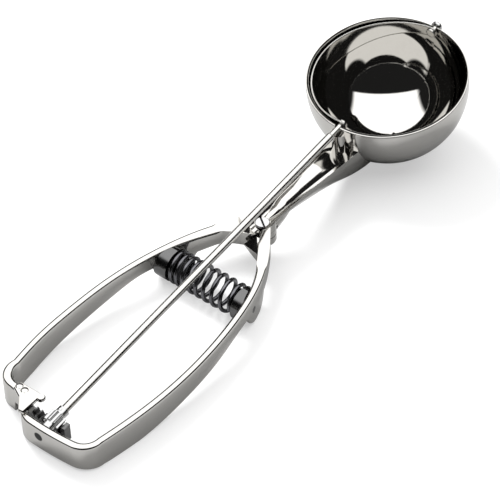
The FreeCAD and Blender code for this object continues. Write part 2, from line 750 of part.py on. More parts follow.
def tangent_arc(start, corner, end):
    # the arc that leaves start towards the corner and reaches end from it
    chord_mid = (start + end) * 0.5
    half_chord = (end - start).Length / 2
    angle = math.acos(min(1.0, half_chord / (corner - start).Length))
    lift = math.tan(angle / 2) / math.tan(angle)
    return edge(start, chord_mid + (corner - chord_mid) * lift, end)


def biarc(turn, span):
    # two arcs that meet in one direction and keep the coil's direction at both ends
    a = coil_point(turn)
    b = coil_point(turn + span)
    ta = coil_tangent(turn)
    tb = coil_tangent(turn + span)
    v = b - a
    along_sum = v.dot(ta + tb)
    open_part = 2 * (1 - ta.dot(tb))
    reach = (-along_sum + math.sqrt(along_sum ** 2 + open_part * v.dot(v))) / open_part
    corner_a = a + ta * reach
    corner_b = b - tb * reach
    joint = (corner_a + corner_b) * 0.5
    return [tangent_arc(a, corner_a, joint), tangent_arc(joint, corner_b, b)]


def make_spring():
    span = 0.5
    arcs = []
    for i in range(int(TURNS / span)):
        arcs.extend(biarc(i * span, span))
    path = Part.Wire(arcs)
    profile = Part.Wire(Part.makeCircle(WIRE_R, coil_point(0), coil_tangent(0)))
    return path.makePipeShell([profile], True, False)


def least_spring_gap():
    per_turn = 36
    points = [coil_point(i / per_turn) for i in range(int(TURNS * per_turn) + 1)]
    least = FAR
    for i, p in enumerate(points):
        for q in points[i + per_turn // 2:i + 3 * per_turn // 2]:
            least = min(least, (p - q).Length)
    return least - 2 * WIRE_R


def inside_of(side):
    # the room between the bows on one side, to trim a spring seat by
    stations = FIXED_STATIONS if side > 0 else LEVER_STATIONS
    outer, inner, points, inner_points = band_curves(stations, side)
    first = inner_points[0]
    last = inner_points[-1]
    axis_first = vec(first.x, 0)
    axis_last = vec(last.x, 0)
    room = [inner.toShape(), edge(first, axis_first), edge(axis_first, axis_last), edge(axis_last, last)]
    return prism(room, -FAR, FAR)


def make_spring_seat(side, front_y, band):
    # side is 1 on the fixed bow and -1 on the lever
    centre = vec(SPRING_X, front_y, SPRING_Z)
    tip = centre + Y * (side * STUD_LENGTH)
    back = centre - Y * (side * SEAT_DEPTH)
    far_back = centre - Y * (side * SHANK_DEPTH)
    stud = cylinder(STUD_R, centre, tip)
    stud = stud.makeChamfer(STUD_CHAMFER, [e for e in stud.Edges if abs(e.BoundBox.YMin - tip.y) < NEAR
                                           and abs(e.BoundBox.YMax - tip.y) < NEAR])
    flange = cylinder(SEAT_R, centre, back).common(inside_of(side))
    flange = flange.cut(Part.makeBox(FAR, FAR, FAR, vec(SPRING_X - FAR / 2, -FAR / 2, 0)))
    shank = cylinder(SHANK_R, centre, far_back).common(prism(band, -FAR, FAR))
    return flange.fuse([stud, shank]).removeSplitter()


# Placing and writing

def lay_on_table(shape, lift, shift):
    placed = shape.copy()
    placed.rotate(vec(0, 0, 0), Y, -math.degrees(lift))
    placed.translate(shift)
    return placed


def report_joint(name, point, axis, lift, shift):
    marks = [lay_on_table(Part.Vertex(p), lift, shift).Point for p in (point, point + axis)]
    direction = marks[1] - marks[0]
    print(name, "pos_m", [round(c / 1000, 6) for c in marks[0]], "axis", [round(c, 7) for c in direction])


def main():
    os.makedirs("parts", exist_ok=True)
    envelope = bowl_envelope()
    table = table_half_space()
    nodes = {
        "bowl": make_bowl(),
        "fixed_handle": make_fixed_handle(envelope, table),
        "fixed_spring_seat": make_spring_seat(1, SPRING_RIGHT_Y, fixed_band()),
        "pivot_screw": make_pivot_screw(),
        "pivot_nut": make_pivot_nut(),
        "pivot_washer": make_pivot_washer(),
        "lever_handle": make_lever(table),
        "lever_spring_seat": make_spring_seat(-1, SPRING_LEFT_Y, lever_band()),
        "guide_cap": make_guide_cap(),
        "rack": make_rack(),
        "rack_rivets": make_rack_rivets(),
        "drive_rod": make_drive_rod(),
        "pinion": make_pinion(),
        "pinion_pin": from_tool(hub_pin_hole()),
        "rear_spacer": make_rear_spacer(),
        "scraper": make_scraper(),
        "scraper_clench": make_scraper_clench(),
        "far_pin": make_far_pin(),
        "far_washer": make_far_washer(),
        "spring": make_spring(),
    }
    lift = -table_slope()
    level = Part.makeCompound([lay_on_table(s, lift, vec(0, 0, 0)) for s in nodes.values()])
    box = level.optimalBoundingBox(False)
    shift = vec(-(box.XMin + box.XMax) / 2, -(box.YMin + box.YMax) / 2, -box.ZMin)
    for name, shape in nodes.items():
        placed = lay_on_table(shape, lift, shift)
        placed.exportStep("parts/" + name + ".step")
        print(name, placed.ShapeType, len(placed.Solids), "valid", placed.isValid(),
              "volume", round(placed.Volume, 1))
    print("spring least gap to itself", round(least_spring_gap(), 3))
    print("size", round(box.XLength, 2), round(box.YLength, 2), round(box.ZLength, 2))
    rod_axis = vec(-math.cos(ROD_TILT), 0, -math.sin(ROD_TILT))
    report_joint("lever", vec(0, 0, 0), Z, lift, shift)
    report_joint("rod", on_rod(BOWL_X), rod_axis, lift, shift)
    print("ratio", round(TEETH * MODULE / 2 / RACK_R, 7), "rod range", round(math.degrees(SCRAPER_TRAVEL), 3))


main()
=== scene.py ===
"""Looks of a squeeze-handle ice cream scoop in mirror polished stainless steel.

Everything is in metres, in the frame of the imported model. The lever's pivot gives a second frame,
the handle frame, with the tops of the bows at height 0. The bows, the groove's floor and the spring
are drawn there, in millimetres.
"""

import json
import logging
import math
from dataclasses import dataclass, replace
from enum import Enum
from typing import Any, NamedTuple

import bmesh
import bpy
import numpy as np
from mathutils import Matrix, Vector


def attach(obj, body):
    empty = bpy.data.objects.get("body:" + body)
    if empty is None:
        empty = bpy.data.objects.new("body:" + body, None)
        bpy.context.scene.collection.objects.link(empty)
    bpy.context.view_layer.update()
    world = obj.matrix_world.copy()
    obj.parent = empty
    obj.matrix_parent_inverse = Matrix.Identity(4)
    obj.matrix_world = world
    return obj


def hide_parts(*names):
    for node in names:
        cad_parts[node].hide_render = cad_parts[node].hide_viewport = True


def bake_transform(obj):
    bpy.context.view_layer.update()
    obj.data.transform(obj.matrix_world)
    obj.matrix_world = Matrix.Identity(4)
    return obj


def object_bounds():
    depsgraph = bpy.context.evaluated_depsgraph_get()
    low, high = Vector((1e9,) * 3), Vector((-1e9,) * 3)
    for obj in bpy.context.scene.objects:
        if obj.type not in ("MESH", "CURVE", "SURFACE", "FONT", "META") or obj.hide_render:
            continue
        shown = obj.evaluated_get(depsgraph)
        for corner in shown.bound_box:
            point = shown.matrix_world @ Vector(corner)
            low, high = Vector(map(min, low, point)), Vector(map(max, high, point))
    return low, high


Array = np.ndarray
Rgb = tuple[float, float, float]

MM = 0.001
# Points in the same cell of this many millimetres are welded into one
WELD_CELL = 0.002
LOG = logging.getLogger("scoop")

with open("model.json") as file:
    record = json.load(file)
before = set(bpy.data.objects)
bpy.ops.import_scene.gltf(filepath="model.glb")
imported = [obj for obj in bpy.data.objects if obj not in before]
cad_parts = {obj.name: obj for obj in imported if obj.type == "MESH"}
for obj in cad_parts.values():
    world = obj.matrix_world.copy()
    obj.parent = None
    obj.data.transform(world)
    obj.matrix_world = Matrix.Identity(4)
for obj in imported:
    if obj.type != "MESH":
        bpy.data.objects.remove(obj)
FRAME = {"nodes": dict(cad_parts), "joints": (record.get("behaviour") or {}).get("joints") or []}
CAD_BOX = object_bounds()


class Body(Enum):
    """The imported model's bodies: the fixed one and the two that the joints move."""

    FIXED = "frame"
    LEVER = "lever"
    ROTOR = "rotor"


class Slot(Enum):
    """The names of two of the record's material slots."""

    POLISHED = "polished_steel"
    SPRING = "spring_steel"


def joint(name: str) -> dict[str, Any]:
    """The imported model's joint of that name.

    Args:
        name: the joint's name in the record.

    Returns:
        The joint's own record, with its place and axis.
    """
    return next(j for j in FRAME["joints"] if j["name"] == name)


@dataclass(frozen=True)
class HandleFrame:
    """The handle frame: origin on the pivot at the bows' tops, Z along the pivot, +X to the bowl."""

    origin: Array
    x: Array
    y: Array
    z: Array

    @classmethod
    def from_pivot(cls) -> "HandleFrame":
        """Reads the frame from the lever's joint.

        Returns:
            The frame, whose Y stays level because the pivot only leans along the scoop.
        """
        pivot = joint("lever_squeeze")
        z = np.array(pivot["axis"])
        y = np.array([0.0, 1.0, 0.0])
        x = np.cross(y, z)
        return cls(np.array(pivot["pos_m"]), x, y, z)

    def turn(self, directions: Array) -> Array:
        """Turns directions given in this frame into the model's: x X + y Y + z Z."""
        return directions @ np.stack([self.x, self.y, self.z])

    def place(self, points_mm: Array) -> Array:
        """Puts points given in millimetres in this frame into the model's metres.

        Args:
            points_mm: an array whose last axis is x, y, z.

        Returns:
            The points in metres: origin + x X + y Y + z Z.
        """
        return self.origin + MM * self.turn(points_mm)


HANDLE = HandleFrame.from_pivot()


class Nodes:
    """A short writer for a material's or a world's node tree."""

    def __init__(self, tree: bpy.types.NodeTree) -> None:
        """Empties the tree.

        Args:
            tree: the node tree to fill.
        """
        tree.nodes.clear()
        self.tree = tree

    def add(self, kind: str, **values: Any) -> bpy.types.Node:
        """Adds a node and sets its properties.

        Args:
            kind: the node's type without its leading ShaderNode.
            **values: properties of the node by name.

        Returns:
            The new node.
        """
        node = self.tree.nodes.new("ShaderNode" + kind)
        for name, value in values.items():
            setattr(node, name, value)
        return node

    def feed(self, node: bpy.types.Node, **inputs: Any) -> bpy.types.Node:
        """Gives a node's sockets a number, a colour or another node's output.

        Args:
            node: the node to feed.
            **inputs: values by socket name, with _ for a space, or by s0, s1 for a place in the list.

        Returns:
            The same node.
        """
        for name, value in inputs.items():
            spot = int(name[1:]) if name[0] == "s" and name[1:].isdigit() else name.replace("_", " ")
            socket = node.inputs[spot]
            if isinstance(value, bpy.types.NodeSocket):
                self.tree.links.new(value, socket)
            else:
                socket.default_value = value
        return node

    def maths(self, operation: str, *values: Any, clamp: bool = False) -> bpy.types.NodeSocket:
        """Adds a Math node.

        Args:
            operation: the operation's name.
            *values: its one to three inputs.
            clamp: whether the result is kept between 0 and 1.

        Returns:
            The node's output.
        """
        node = self.add("Math", operation=operation, use_clamp=clamp)
        self.feed(node, **{f"s{i}": v for i, v in enumerate(values)})
        return node.outputs[0]

    def step(self, value: Any, low: float, high: float, start: float = 0.0, end: float = 1.0) -> Any:
        """A smooth ramp of a value from one level to another.

        Args:
            value: the input socket.
            low: the input where the ramp starts.
            high: the input where it ends.
            start: the output below low.
            end: the output above high.

        Returns:
            The ramp's output socket.
        """
        node = self.add("MapRange", interpolation_type="SMOOTHSTEP")
        self.feed(node, Value=value, From_Min=low, From_Max=high, To_Min=start, To_Max=end)
        return node.outputs[0]

    def noise(self, vector: Any, scale: float, detail: float = 3.0, rough: float = 0.5) -> Any:
        """A noise texture's height.

        Args:
            vector: the coordinates.
            scale: cells per metre.
            detail: octaves.
            rough: how strong the finer octaves are.

        Returns:
            The noise's Factor socket.
        """
        node = self.add("TexNoise")
        self.feed(node, Vector=vector, Scale=scale, Detail=detail, Roughness=rough)
        return node.outputs[0]

    def mix(self, share: Any, start: Any, end: Rgb) -> bpy.types.NodeSocket:
        """Mixes two colours.

        Args:
            share: the share of the second colour.
            start: the first colour, or another node's output.
            end: the second colour.

        Returns:
            The mixed colour's socket.
        """
        node = self.add("Mix", data_type="RGBA")
        first = start if isinstance(start, bpy.types.NodeSocket) else (*start, 1.0)
        self.feed(node, s0=share, s6=first, s7=(*end, 1.0))
        return node.outputs[2]


def rod_end() -> tuple[float, float, float]:
    """Finds where the drive rod's axis meets the rear end of the model's box.

    Returns:
        The place in metres.
    """
    spin = joint("rod_spin")
    place, way = np.array(spin["pos_m"]), np.array(spin["axis"])
    share = (CAD_BOX[0][0] - place[0]) / way[0]
    return tuple(float(v) for v in place + share * way)


def solid_points(name: str) -> Array:
    """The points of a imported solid.

    Args:
        name: the solid's node.

    Returns:
        Its points in metres, one row each.
    """
    mesh = FRAME["nodes"][name].data
    spots = np.zeros(3 * len(mesh.vertices))
    mesh.vertices.foreach_get("co", spots)
    return spots.reshape(-1, 3)


@dataclass(frozen=True)
class Steel:
    """A steel finish: its colour, gloss, how wavy its polish is and how it is scratched and worn.

    Lengths are in metres and noise sizes in cells per metre. edge is the radius that corners seem worn
    to, lip the slope of the bowl's ground rim, bore the place and radius of a round spot painted nearly
    black as the shade inside the rod's bore, and sunk the height above the bows' tops under which the
    colour is painted nearly black as shade. Zero leaves each of these four out.
    """

    name: str
    colour: Rgb
    shade: float = 0.04
    gloss: float = 0.06
    smudge: float = 0.05
    wave_size: float = 60.0
    wave_height: float = 0.00002
    scratch_size: tuple[float, float, float] = (90.0, 2600.0, 2600.0)
    scratch_depth: float = 0.000002
    scratch_gloss: float = 0.5
    smears_per_wave: float = 4.0
    smear_from: float = 0.45
    smear_full: float = 0.75
    edge: float = 0.0003
    lip: float = 0.0
    lip_from: float = 0.0008
    lip_full: float = 0.0006
    # Painted shade: a round spot on the rear face, nearly black, stands in for the rod's bore
    bore: tuple[float, float, float, float] = (0.0, 0.0, 0.0, 0.0)
    bore_soft: float = 0.8
    # The colour of the painted shade in the bore's spot
    painted_bore_shade: Rgb = (0.01, 0.01, 0.01)
    # Painted shade: below this height the colour is nearly black
    sunk: float = 0.0
    sunk_soft: float = 0.0001
    # The colour of the painted shade below the sunk height
    painted_sunk_shade: Rgb = (0.02, 0.02, 0.02)

    def ground_lip(self, nodes: Nodes, place: Any) -> bpy.types.Node:
        """Leans the top of the bowl's rim inwards, as its edge is ground.

        The height added is the slope times the distance from the bowl's axis, on the rim's flat only.

        Args:
            nodes: the material's writer.
            place: the object coordinates.

        Returns:
            The bump node.
        """
        along = -np.array(joint("rod_spin")["axis"])
        side = np.array([0.0, 1.0, 0.0])
        axis = np.cross(along, side)
        spots = solid_points("bowl")
        middle = 0.5 * ((spots @ along).min() + (spots @ along).max())
        top = float((spots @ axis).max())
        parts = []
        for way in (along, side, axis):
            part = nodes.add("VectorMath", operation="DOT_PRODUCT")
            nodes.feed(part, s0=place, s1=tuple(way))
            parts.append(part.outputs["Value"])
        ahead = nodes.maths("POWER", nodes.maths("SUBTRACT", parts[0], float(middle)), 2.0)
        reach = nodes.maths("SQRT", nodes.maths("ADD", ahead, nodes.maths("POWER", parts[1], 2.0)))
        on_rim = nodes.step(parts[2], top - self.lip_from, top - self.lip_full)
        bump = nodes.add("Bump")
        height = nodes.maths("MULTIPLY", nodes.maths("MULTIPLY", reach, self.lip), on_rim)
        nodes.feed(bump, Height=height, Strength=1.0, Distance=1.0)
        return bump

    def tint(self, nodes: Nodes, place: Any, smear: Any) -> Any:
        """Darkens the colour under smudges, and paints shade nearly black on the bore's spot and below the
        sunk height.

        Args:
            nodes: the material's writer.
            place: the object coordinates.
            smear: how smudged each place is, from 0 to 1.

        Returns:
            The colour's socket.
        """
        smudged = tuple(c * (1.0 - 2.0 * self.shade) for c in self.colour)
        colour = nodes.mix(smear, self.colour, smudged)
        # Painted shade: the bore's round spot is made nearly black
        if self.bore[3] > 0.0:
            away = nodes.add("VectorMath", operation="DISTANCE")
            nodes.feed(away, s0=place, s1=self.bore[:3])
            radius = self.bore[3]
            deep = nodes.step(away.outputs["Value"], self.bore_soft * radius, radius, 1.0, 0.0)
            colour = nodes.mix(deep, colour, self.painted_bore_shade)
        # Painted shade: below the sunk height the colour is made nearly black
        if self.sunk > 0.0:
            height = nodes.add("VectorMath", operation="DOT_PRODUCT")
            nodes.feed(height, s0=place, s1=tuple(HANDLE.z))
            level = float(HANDLE.origin @ HANDLE.z) + self.sunk
            deep = nodes.step(height.outputs["Value"], level - self.sunk_soft, level, 1.0, 0.0)
            colour = nodes.mix(deep, colour, self.painted_sunk_shade)
        return colour

    def relief(self, nodes: Nodes, place: Any, scratch: Any) -> Any:
        """Stacks the waviness and the scratches on the worn edges or on the ground rim.

        Args:
            nodes: the material's writer.
            place: the object coordinates.
            scratch: the scratches' height.

        Returns:
            The normal's socket.
        """
        wave = nodes.noise(place, self.wave_size, detail=2.0)
        low = nodes.add("Bump")
        nodes.feed(low, Height=wave, Strength=1.0, Distance=self.wave_height)
        if self.lip > 0.0:
            nodes.feed(low, Normal=self.ground_lip(nodes, place).outputs[0])
        elif self.edge > 0.0:
            rounded = nodes.add("Bevel", samples=6)
            nodes.feed(rounded, Radius=self.edge)
            nodes.feed(low, Normal=rounded.outputs[0])
        fine = nodes.add("Bump")
        nodes.feed(fine, Height=scratch, Strength=1.0, Distance=self.scratch_depth, Normal=low.outputs[0])
        return fine.outputs[0]

    def build(self) -> bpy.types.Material:
        """Makes the finish from noises on object coordinates.

        Large noise is the waviness of the polish, stretched noise is the scratches along the scoop,
        and a medium noise thresholded is the handling smudges, which are rougher and darker.

        Returns:
            The material.
        """
        material = bpy.data.materials.new(self.name)
        material.use_nodes = True
        nodes = Nodes(material.node_tree)
        place = nodes.add("TexCoord").outputs["Object"]
        lines = nodes.add("Mapping")
        nodes.feed(lines, Vector=place, Scale=self.scratch_size)
        scratch = nodes.noise(lines.outputs[0], scale=1.0, detail=4.0, rough=0.7)
        smears = nodes.noise(place, self.smears_per_wave * self.wave_size, detail=4.0, rough=0.6)
        smear = nodes.step(smears, self.smear_from, self.smear_full)
        rough = nodes.maths("MULTIPLY_ADD", smear, self.smudge, self.gloss)
        rough = nodes.maths("MULTIPLY_ADD", scratch, self.scratch_gloss * self.gloss, rough)
        shader = nodes.add("BsdfPrincipled")
        nodes.feed(shader, Base_Color=self.tint(nodes, place, smear), Metallic=1.0, Roughness=rough,
                   Normal=self.relief(nodes, place, scratch))
        nodes.feed(nodes.add("OutputMaterial"), Surface=shader.outputs[0])
        return material


POLISHED = Steel("polished_steel", (0.54, 0.53, 0.508), smudge=0.015, shade=0.01,
                 wave_height=0.000006, edge=0.0007)
POLISHED_BOWL = replace(POLISHED, name="polished_bowl", gloss=0.03, smudge=0.01,
                        wave_height=0.000003, edge=0.0, lip=1.0)
FLUSH = replace(POLISHED, name="flush_steel", edge=0.0)
POLISHED_BOW = replace(FLUSH, name="polished_bow", bore=(*rod_end(), 0.0019))
# Painted shade: these solids sit in the shaded pocket behind the arm and between the bows, so their steel is
# painted dark
PAINTED_SHADE_STEEL = Steel("painted_shade_steel", (0.13, 0.13, 0.13), gloss=0.14, edge=0.0001)
TURNED = Steel("turned_steel", (0.50, 0.50, 0.50), gloss=0.16, scratch_depth=0.000004, edge=0.0001)
WIRE = Steel("spring_wire", (0.14, 0.14, 0.15), gloss=0.12, smudge=0.08, wave_size=300.0,
             wave_height=0.000004)
SCREW = Steel("screw_steel", (0.50, 0.50, 0.50), gloss=0.10, edge=0.0001, sunk=0.0014)


def new_mesh(name: str, points: Array, faces: list[list[int]], finish: Steel) -> bpy.types.Object:
    """Makes a smooth mesh object in a steel finish.

    Args:
        name: the object's name.
        points: its points in metres, one row each.
        faces: the point numbers of each face.
        finish: its finish.

    Returns:
        The new object, at the origin, which rides on no body yet.
    """
    mesh = bpy.data.meshes.new(name)
    mesh.from_pydata(points.reshape(-1, 3).tolist(), [], faces)
    mesh.polygons.foreach_set("use_smooth", np.ones(len(mesh.polygons), bool))
    mesh.update()
    mesh.materials.append(finish.build())
    made = bpy.data.objects.new(name, mesh)
    bpy.context.scene.collection.objects.link(made)
    LOG.info("%s: %d points", name, len(mesh.vertices))
    return made


def new_piece(name: str, points: Array, faces: list[list[int]], body: Body,
              finish: Steel) -> bpy.types.Object:
    """Makes a polished mesh piece that rides on a body.

    Args:
        name: the piece's name.
        points: its points in metres, one row each.
        faces: the point numbers of each face.
        body: the body that it rides on.
        finish: its finish.

    Returns:
        The new piece.
    """
    piece = new_mesh(name, points, faces, finish)
    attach(piece, body.value)
    return piece


def grid_faces(rows: int, columns: int, closed: bool = True) -> Array:
    """Quads of a grid of points laid out row by row.

    Args:
        rows: how many rows of points.
        columns: how many points in each row.
        closed: whether each row joins its own start.

    Returns:
        One row of four point numbers for each quad.
    """
    r = np.arange(rows - 1)[:, None]
    c = np.arange(columns if closed else columns - 1)[None, :]
    n = (c + 1) % columns
    quads = np.stack([r * columns + c, r * columns + n, (r + 1) * columns + n, (r + 1) * columns + c], -1)
    return quads.reshape(-1, 4)


def spline(points: Array, samples: Array) -> Array:
    """A natural cubic curve through points.

    The parameter is the chord length along the points. On each span the curve is the cubic that has
    the span's ends and the second derivatives that make slope and curvature run on.

    Args:
        points: the points to pass through, one row each.
        samples: where to read the curve, from 0 at the first point to 1 at the last.

    Returns:
        One row for each sample.
    """
    knots = np.concatenate([[0.0], np.cumsum(np.linalg.norm(np.diff(points, axis=0), axis=1))])
    gap = np.diff(knots)
    slope = np.diff(points, axis=0) / gap[:, None]
    system = np.diag(np.concatenate([[1.0], 2.0 * (gap[1:] + gap[:-1]), [1.0]]))
    inner = np.arange(1, len(points) - 1)
    system[inner, inner - 1] = gap[:-1]
    system[inner, inner + 1] = gap[1:]
    right = np.zeros_like(points)
    right[1:-1] = 6.0 * np.diff(slope, axis=0)
    second = np.linalg.solve(system, right)
    at = np.clip(samples, 0.0, 1.0) * knots[-1]
    span = np.clip(np.searchsorted(knots, at, side="right") - 1, 0, len(gap) - 1)
    h, a, b = gap[span, None], (knots[span + 1] - at)[:, None], (at - knots[span])[:, None]
    start, end = points[span], points[span + 1]
    bend_start, bend_end = second[span], second[span + 1]
    return (bend_start * a ** 3 + bend_end * b ** 3) / (6.0 * h) \
        + (start / h - bend_start * h / 6.0) * a + (end / h - bend_end * h / 6.0) * b


def arc(start: Array, end: Array, bulge: float, count: int) -> Array:
    """A circular arc between two points that stands out from its chord, without its first point.

    With h as twice the arctangent of twice the bulge and r as 1 / (2 sin h), the point at turn a, from
    -h to h, is the chord's middle plus chord * r sin a plus left * r (cos a - cos h).

    Args:
        start: the first point.
        end: the last point.
        bulge: how far the arc stands out to the left of the way, as a share of the chord.
        count: how many points to give.

    Returns:
        The points, one row each.
    """
    chord = end - start
    left = np.array([-chord[1], chord[0]])
    half = 2.0 * math.atan(2.0 * abs(bulge))
    turn = np.linspace(-half, half, count + 1)[1:, None]
    radius = 0.5 / math.sin(half)
    rise = radius * (np.cos(turn) - math.cos(half)) * math.copysign(1.0, bulge)
    return (start + end) / 2 + chord * radius * np.sin(turn) + left * rise


def round_pivot(radius: float, start_y: float, end_y: float, count: int) -> Array:
    """Points on the rear half of a circle about the pivot, without the first one.

    Args:
        radius: the circle's radius.
        start_y: Y of the arc's start.
        end_y: Y of its end.
        count: how many points to give.

    Returns:
        The points, one row each: (-radius cos a, radius sin a), with a evenly between the ends.
    """
    angle = np.linspace(math.asin(start_y / radius), math.asin(end_y / radius), count + 1)[1:]
    return radius * np.stack([-np.cos(angle), np.sin(angle)], 1)


def rear_point(radius: float, y: float) -> Array:
    """The point at a given Y on the rear half of a circle about the pivot."""
    return np.array([-math.sqrt(radius ** 2 - y ** 2), y])


@dataclass(frozen=True)
class Depths:
    """How deep the bows reach below their tops along X, with the round boss at the spring's seats."""

    reach: float = 117.35
    stations: tuple[tuple[float, float], ...] = (
        (106.5, -8.9), (95.4, -10.9), (83.5, -11.8), (63.1, -9.9), (43.5, -7.7), (34.1, -6.3),
        (17.5, -7.2), (10.2, -6.2), (-5.1, -5.8))
    boss_x: float = -26.0
    boss_z: float = -5.8
    boss_r: float = 7.0
    clear: float = 0.01
    samples: int = 400

    def low(self, x: Array) -> Array:
        """The underside's height: the deeper of the long curve and the boss, held above the table.

        Args:
            x: places along the handle frame's X.

        Returns:
            The heights.
        """
        points = np.array([(-s * self.reach / 100.0, z) for s, z in self.stations])
        curve = spline(points, np.linspace(0.0, 1.0, self.samples))
        long = np.interp(x, curve[:, 0], curve[:, 1])
        boss = self.boss_z - np.sqrt(np.clip(self.boss_r ** 2 - (x - self.boss_x) ** 2, 0.0, None))
        deep = np.where(np.abs(x - self.boss_x) < self.boss_r, np.minimum(long, boss), long)
        table = -(HANDLE.origin[2] / MM + x * HANDLE.x[2]) / HANDLE.z[2]
        return np.maximum(deep, table + self.clear)


class Corner(NamedTuple):
    """A corner of the band's section, and whether its round is drawn backwards."""

    top: bool
    inside: bool
    back: bool


# The section's corners in the order of the ring's points
SECTION = (Corner(False, False, True), Corner(True, False, False),
           Corner(True, True, True), Corner(False, True, False))


@dataclass
class Bow:
    """One bow: a flat band swept along its plan, with its edges rounded over by hand polishing."""

    name: str
    node: str
    body: Body
    side: int
    stations: tuple[tuple[float, float, float], ...]
    start: float = 0.0
    edge_top: float = 1.05
    edge_low: float = 0.45
    edge_share: float = 0.45
    blend_in: float = 2.0
    least_edge: float = 0.02
    strip: float = 0.12
    arc_points: int = 6
    band_points: int = 120
    turn_points: int = 20
    fine_points: int = 801

    def band(self) -> tuple[Array, Array]:
        """The outer and inner plan curves.

        The outer curve passes through the stations. The inner one passes through the points that lie
        one band's thickness inside them, square to the outer curve.

        Returns:
            The outer and inner points from the start share to the rear end, one row each.
        """
        reach = Depths().reach
        outer = np.array([(-s * reach / 100.0, y) for s, y, _ in self.stations])
        thick = np.array([t for _, _, t in self.stations])
        fine = np.linspace(0.0, 1.0, self.fine_points)
        curve = spline(outer, fine)
        nearest = np.argmin(np.linalg.norm(curve[:, None] - outer[None], axis=2), axis=0)
        way = np.gradient(curve, axis=0)[nearest]
        way /= np.linalg.norm(way, axis=1, keepdims=True)
        inward = self.side * np.stack([-way[:, 1], way[:, 0]], 1)
        inner = outer - inward * thick[:, None]
        at = np.linspace(self.start, 1.0, self.band_points)
        return spline(outer, at), spline(inner, at)

    def plan(self) -> tuple[Array, Array]:
        """The whole outer and inner outline, paired point by point.

        Returns:
            The outer and inner points.
        """
        raise NotImplementedError

    def lift(self, points: Array) -> Array:
        """The underside's height at plan points."""
        return Depths().low(points[:, 0])

    def round_corner(self, corner: Corner, outer: Array, inner: Array, grow: Array) -> Array:
        """Rounds one corner of the section along the whole bow.

        A point of the round at turn a lies radius * (1 - cos a) in from the side and radius *
        (1 - sin a) from the top or the underside. One more point on the flat keeps its shading level.

        Args:
            corner: which corner.
            outer: the outer outline.
            inner: the inner outline.
            grow: the share of the full radius at each place.

        Returns:
            The round's points, one row of them for each place.
        """
        width = np.linalg.norm(inner - outer, axis=1)
        across = (inner - outer) / width[:, None]
        full = self.edge_top if corner.top else self.edge_low
        radius = np.minimum(full * grow, self.edge_share * width)[:, None]
        turn = np.linspace(0.0, math.pi / 2, self.arc_points)
        if corner.back:
            turn = turn[::-1]
        inset, drop = radius * (1.0 - np.cos(turn)), radius * (1.0 - np.sin(turn))
        strip = self.strip * grow[:, None]
        if corner.back:
            inset = np.hstack([inset[:, :1] + strip, inset])
            drop = np.hstack([drop[:, :1], drop])
        else:
            inset = np.hstack([inset, inset[:, -1:] + strip])
            drop = np.hstack([drop, drop[:, -1:]])
        edge = inner if corner.inside else outer
        sign = -1.0 if corner.inside else 1.0
        plan = edge[:, None] + sign * across[:, None] * inset[..., None]
        height = -drop if corner.top else self.lift(edge)[:, None] + drop
        return np.concatenate([plan, height[..., None]], 2)

    def build(self, finish: Steel) -> bpy.types.Object:
        """Sweeps the rounded band along its plan, closes its ends and puts it in the solid's place.

        The radius of each corner grows from a small share at the cut to its full size, and stays
        under half the band's thickness.

        Args:
            finish: the steel's finish.

        Returns:
            The bow's object.
        """
        outer, inner = self.plan()
        steps = np.linalg.norm(np.diff((outer + inner) / 2, axis=0), axis=1)
        run = np.concatenate([[0.0], np.cumsum(steps)])
        grow = np.clip(run / self.blend_in, self.least_edge, 1.0)
        rings = np.concatenate([self.round_corner(corner, outer, inner, grow) for corner in SECTION], 1)
        rows, ring = rings.shape[:2]
        faces = grid_faces(rows, ring)
        if self.side > 0:
            faces = faces[:, ::-1]
        ends = np.arange(ring) + np.array([[0], [(rows - 1) * ring]])
        points = HANDLE.place(rings.reshape(-1, 3))
        piece = new_piece(self.name, points, faces.tolist() + ends.tolist(), self.body, finish)
        face_outwards(piece)
        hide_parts(self.node)
        return piece


def face_outwards(piece: bpy.types.Object, sharp: float = math.radians(40.0)) -> None:
    """Makes the faces of a closed mesh point outwards and its corners sharp.

    Args:
        piece: the piece.
        sharp: the angle between two faces above which their edge is sharp.
    """
    work = bmesh.new()
    work.from_mesh(piece.data)
    bmesh.ops.recalc_face_normals(work, faces=work.faces)
    work.to_mesh(piece.data)
    work.free()
    piece.data.set_sharp_from_angle(angle=sharp)


@dataclass
class FixedBow(Bow):
    """The right bow, which turns into the cross member behind the pinion.

    The cross member lies on circles about the pivot, and its tip thins to a face.
    """

    thick: float = 3.1
    turn_y: float = 13.0
    round_y: float = 4.0
    tip_y: float = 9.6
    face: float = 1.2
    turn_bulge: float = 0.2
    tip_bulge: float = 0.1
    rear_points: int = 24
    tip_points: int = 10

    def plan(self) -> tuple[Array, Array]:
        """Draws the band, the rear corner, the cross member and its tip.

        Returns:
            The outer and inner points.
        """
        reach = Depths().reach
        inside = reach - self.thick
        outer, inner = self.band()
        outer_turn = arc(outer[-1], rear_point(reach, -self.turn_y), self.turn_bulge, self.turn_points)
        inner_turn = arc(inner[-1], rear_point(inside, -self.turn_y), self.turn_bulge, self.turn_points)
        outer_rear = round_pivot(reach, -self.turn_y, self.round_y, self.rear_points)
        inner_rear = round_pivot(inside, -self.turn_y, self.round_y, self.rear_points)
        tip = round_pivot(inside + self.face, 0.0, self.tip_y, 1)[0]
        outer_tip = arc(outer_rear[-1], tip, self.tip_bulge, self.tip_points)
        inner_tip = round_pivot(inside, self.round_y, self.tip_y, self.tip_points)
        return (np.vstack([outer, outer_turn, outer_rear, outer_tip]),
                np.vstack([inner, inner_turn, inner_rear, inner_tip]))


